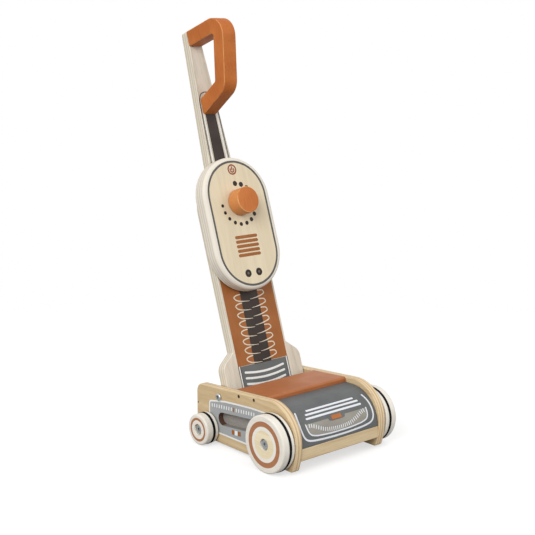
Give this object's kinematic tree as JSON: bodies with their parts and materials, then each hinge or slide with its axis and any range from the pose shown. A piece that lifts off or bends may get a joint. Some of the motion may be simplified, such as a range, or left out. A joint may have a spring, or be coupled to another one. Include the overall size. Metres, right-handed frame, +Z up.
{
  "type": "toy vacuum cleaner",
  "caption": "Push-along wooden toy vacuum cleaner: low wheeled body with a curved cover and magnet intake, leaning board mast, capsule control panel with a turning knob, and a D handle.",
  "frame": {"origin": "on the floor, in the middle of the toy's width and depth", "axes": "+Z up, the toy's front faces -Y, +X to the right as seen from the front"},
  "size_m": [0.2128, 0.3392, 0.5951],
  "materials": {
    "natural_wood": "clear-lacquered birch plywood",
    "pale_wood": "thinly whitened birch plywood",
    "orange_paint": "satin burnt-orange paint on wood",
    "grey_paint": "satin warm-grey paint on bent plywood",
    "cream_paint": "satin cream paint on turned wood",
    "black_rubber": "matt black rubber",
    "steel": "zinc-plated steel",
    "smoked_plastic": "smoked clear plastic"
  },
  "bodies": {
    "base": {"left_side_panel": "natural_wood", "right_side_panel": "natural_wood", "left_window": "smoked_plastic", "right_window": "smoked_plastic", "front_cover": "grey_paint", "front_rail": "natural_wood", "top_board": "orange_paint", "back_board": "natural_wood", "magnet_board": "natural_wood", "pickup_magnets": "steel", "side_brads": "steel", "mast": "pale_wood", "mast_batten": "natural_wood", "batten_screws": "steel", "left_mast_bolt": "steel", "right_mast_bolt": "steel", "mast_cross_nuts": "steel", "control_panel": "pale_wood", "panel_screws": "steel", "knob_washer": "steel", "handle": "orange_paint", "handle_screws": "steel", "front_left_wheel_bolt": "steel", "front_right_wheel_bolt": "steel", "rear_left_wheel_bolt": "steel", "rear_right_wheel_bolt": "steel", "front_left_washer": "steel", "front_right_washer": "steel", "rear_left_washer": "steel", "rear_right_washer": "steel", "wheel_inserts": "steel"},
    "front_left_wheel_body": {"front_left_wheel": "cream_paint", "front_left_tyre": "black_rubber"},
    "front_right_wheel_body": {"front_right_wheel": "cream_paint", "front_right_tyre": "black_rubber"},
    "rear_left_wheel_body": {"rear_left_wheel": "cream_paint", "rear_left_tyre": "black_rubber"},
    "rear_right_wheel_body": {"rear_right_wheel": "cream_paint", "rear_right_tyre": "black_rubber"},
    "knob_body": {"knob": "orange_paint", "knob_spindle": "steel"}
  },
  "joints": [
    {"name": "front_left_wheel_spin", "type": "hinge", "parent": "base", "child": "front_left_wheel_body", "pos_m": [-0.0964, -0.12954, 0.0401], "axis": [1, 0, 0], "continuous": true},
    {"name": "front_right_wheel_spin", "type": "hinge", "parent": "base", "child": "front_right_wheel_body", "pos_m": [0.0964, -0.12954, 0.0401], "axis": [1, 0, 0], "continuous": true},
    {"name": "rear_left_wheel_spin", "type": "hinge", "parent": "base", "child": "rear_left_wheel_body", "pos_m": [-0.0964, 0.01421, 0.0229], "axis": [1, 0, 0], "continuous": true},
    {"name": "rear_right_wheel_spin", "type": "hinge", "parent": "base", "child": "rear_right_wheel_body", "pos_m": [0.0964, 0.01421, 0.0229], "axis": [1, 0, 0], "continuous": true},
    {"name": "knob_turn", "type": "hinge", "parent": "base", "child": "knob_body", "pos_m": [0, 0.03897, 0.33719], "axis": [0, -0.9472, 0.3206], "continuous": true}
  ]
}
